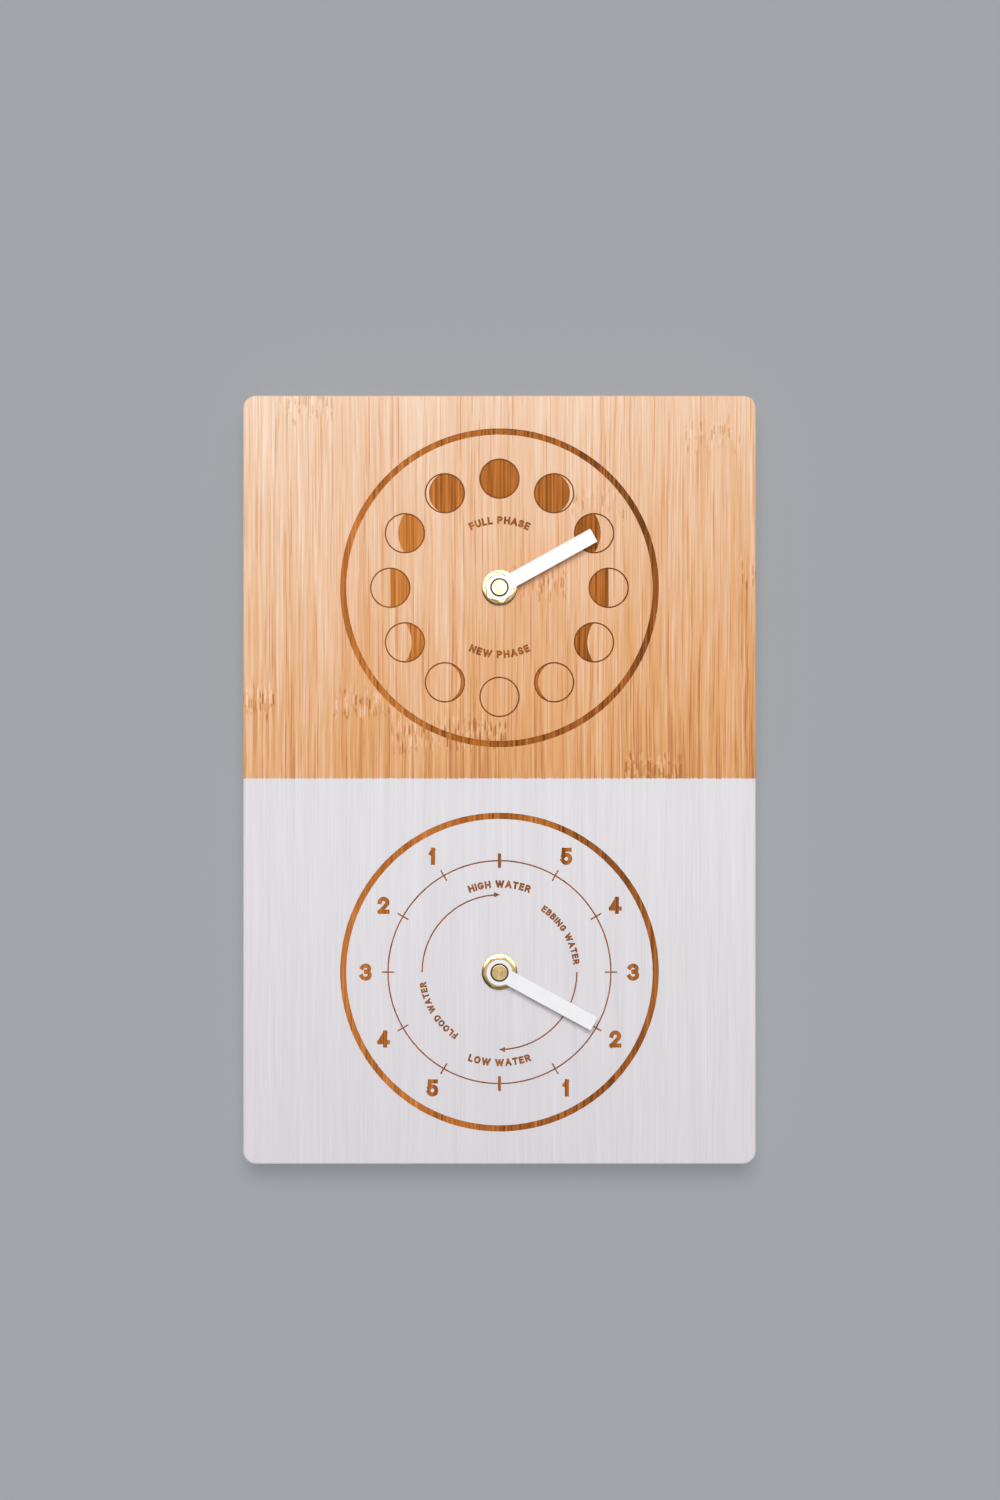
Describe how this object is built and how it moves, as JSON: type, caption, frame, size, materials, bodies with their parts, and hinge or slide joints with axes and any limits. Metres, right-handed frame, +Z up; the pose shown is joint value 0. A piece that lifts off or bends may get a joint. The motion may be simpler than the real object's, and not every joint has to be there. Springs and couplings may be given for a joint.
{
  "type": "tide clock",
  "caption": "Flat bamboo wall clock with an engraved moon-phase dial over a tide dial, each with a plain hand on its own quartz movement let into the back.",
  "frame": {"origin": "middle of the board's back face, on the wall", "axes": "+Z up the board, -Y out of the wall towards the viewer, +X to the viewer's right"},
  "size_m": [0.2, 0.0255, 0.3],
  "materials": {
    "bamboo": "oiled bamboo, lower half painted white, engraving burnt brown",
    "case_plastic": "moulded, fine grain",
    "knob_plastic": "moulded, gripped edge",
    "white_plastic": "moulded",
    "gear_plastic": "moulded",
    "rubber": "plain",
    "brass": "turned",
    "turned_brass": "faced with fine turning rings",
    "dark_brass": "blackened",
    "hand_paint": "satin white",
    "steel": "zinc plated",
    "lamination": "annealed",
    "nickel": "nickel plated",
    "copper": "enamelled wire",
    "circuit": "resin board",
    "magnet": "sintered",
    "battery_wrap": "plain wrap"
  },
  "bodies": {
    "clock": {"board": "bamboo", "hanger_plate": "steel", "hanger_screws": "steel", "moon_case": "case_plastic", "moon_cover": "case_plastic", "moon_gasket": "rubber", "moon_stem": "brass", "moon_washer": "brass", "moon_nut": "brass", "moon_train_bridge": "white_plastic", "moon_stator": "lamination", "moon_coil_core": "lamination", "moon_coil_bobbin": "white_plastic", "moon_coil_winding": "copper", "moon_circuit_board": "circuit", "moon_crystal": "nickel", "moon_contact_plus": "nickel", "moon_contact_minus": "nickel", "tide_case": "case_plastic", "tide_cover": "case_plastic", "tide_gasket": "rubber", "tide_stem": "brass", "tide_washer": "brass", "tide_nut": "brass", "tide_train_bridge": "white_plastic", "tide_stator": "lamination", "tide_coil_core": "lamination", "tide_coil_bobbin": "white_plastic", "tide_coil_winding": "copper", "tide_circuit_board": "circuit", "tide_crystal": "nickel", "tide_contact_plus": "nickel", "tide_contact_minus": "nickel"},
    "moon_hand_set": {"moon_hand": "hand_paint", "moon_hand_bush": "dark_brass", "moon_hand_cap": "turned_brass", "moon_hand_arbor": "white_plastic", "moon_setting_gear": "white_plastic", "moon_clutch_spring": "nickel"},
    "moon_drive": {"moon_drive_wheel": "gear_plastic"},
    "moon_second": {"moon_second_wheel": "gear_plastic"},
    "moon_first": {"moon_first_wheel": "gear_plastic"},
    "moon_rotor": {"moon_rotor_pinion": "white_plastic", "moon_rotor_magnet": "magnet"},
    "moon_knob": {"moon_setting_knob": "knob_plastic"},
    "moon_cell": {"moon_battery": "battery_wrap"},
    "tide_hand_set": {"tide_hand": "hand_paint", "tide_hand_bush": "dark_brass", "tide_hand_cap": "turned_brass", "tide_hand_arbor": "white_plastic", "tide_setting_gear": "white_plastic", "tide_clutch_spring": "nickel"},
    "tide_drive": {"tide_drive_wheel": "gear_plastic"},
    "tide_second": {"tide_second_wheel": "gear_plastic"},
    "tide_first": {"tide_first_wheel": "gear_plastic"},
    "tide_rotor": {"tide_rotor_pinion": "white_plastic", "tide_rotor_magnet": "magnet"},
    "tide_knob": {"tide_setting_knob": "knob_plastic"},
    "tide_cell": {"tide_battery": "battery_wrap"}
  },
  "joints": [
    {"name": "moon_hand_turn", "type": "hinge", "parent": "clock", "child": "moon_hand_set", "pos_m": [0, 0, 0.075], "axis": [0, -1, 0], "continuous": true},
    {"name": "moon_knob_turn", "type": "hinge", "parent": "clock", "child": "moon_knob", "pos_m": [0.00869, 0, 0.07267], "axis": [0, -1, 0], "continuous": true},
    {"name": "moon_rotor_turn", "type": "hinge", "parent": "clock", "child": "moon_rotor", "pos_m": [0.00272, 0, 0.0951], "axis": [0, -1, 0], "continuous": true},
    {"name": "moon_first_turn", "type": "hinge", "parent": "clock", "child": "moon_first", "pos_m": [-0.00762, 0, 0.09133], "axis": [0, -1, 0], "continuous": true},
    {"name": "moon_second_turn", "type": "hinge", "parent": "clock", "child": "moon_second", "pos_m": [-0.00953, 0, 0.0805], "axis": [0, -1, 0], "continuous": true},
    {"name": "moon_drive_turn", "type": "hinge", "parent": "clock", "child": "moon_drive", "pos_m": [0, 0, 0.075], "axis": [0, -1, 0], "continuous": true},
    {"name": "moon_cell_slide", "type": "slide", "parent": "clock", "child": "moon_cell", "axis": [0, 1, 0], "range_m": [0, 0.03]},
    {"name": "tide_hand_turn", "type": "hinge", "parent": "clock", "child": "tide_hand_set", "pos_m": [0, 0, -0.075], "axis": [0, -1, 0], "continuous": true},
    {"name": "tide_knob_turn", "type": "hinge", "parent": "clock", "child": "tide_knob", "pos_m": [0.00869, 0, -0.07733], "axis": [0, -1, 0], "continuous": true},
    {"name": "tide_rotor_turn", "type": "hinge", "parent": "clock", "child": "tide_rotor", "pos_m": [0.00272, 0, -0.0549], "axis": [0, -1, 0], "continuous": true},
    {"name": "tide_first_turn", "type": "hinge", "parent": "clock", "child": "tide_first", "pos_m": [-0.00762, 0, -0.05867], "axis": [0, -1, 0], "continuous": true},
    {"name": "tide_second_turn", "type": "hinge", "parent": "clock", "child": "tide_second", "pos_m": [-0.00953, 0, -0.0695], "axis": [0, -1, 0], "continuous": true},
    {"name": "tide_drive_turn", "type": "hinge", "parent": "clock", "child": "tide_drive", "pos_m": [0, 0, -0.075], "axis": [0, -1, 0], "continuous": true},
    {"name": "tide_cell_slide", "type": "slide", "parent": "clock", "child": "tide_cell", "axis": [0, 1, 0], "range_m": [0, 0.03]}
  ],
  "couplings": [
    {"joint": "moon_knob_turn", "follows": "moon_hand_turn", "ratio": -1},
    {"joint": "moon_first_turn", "follows": "moon_rotor_turn", "ratio": -0.22222},
    {"joint": "moon_second_turn", "follows": "moon_rotor_turn", "ratio": 0.049383},
    {"joint": "moon_drive_turn", "follows": "moon_rotor_turn", "ratio": -0.010974},
    {"joint": "tide_knob_turn", "follows": "tide_hand_turn", "ratio": -1},
    {"joint": "tide_first_turn", "follows": "tide_rotor_turn", "ratio": -0.22222},
    {"joint": "tide_second_turn", "follows": "tide_rotor_turn", "ratio": 0.049383},
    {"joint": "tide_drive_turn", "follows": "tide_rotor_turn", "ratio": -0.010974}
  ]
}
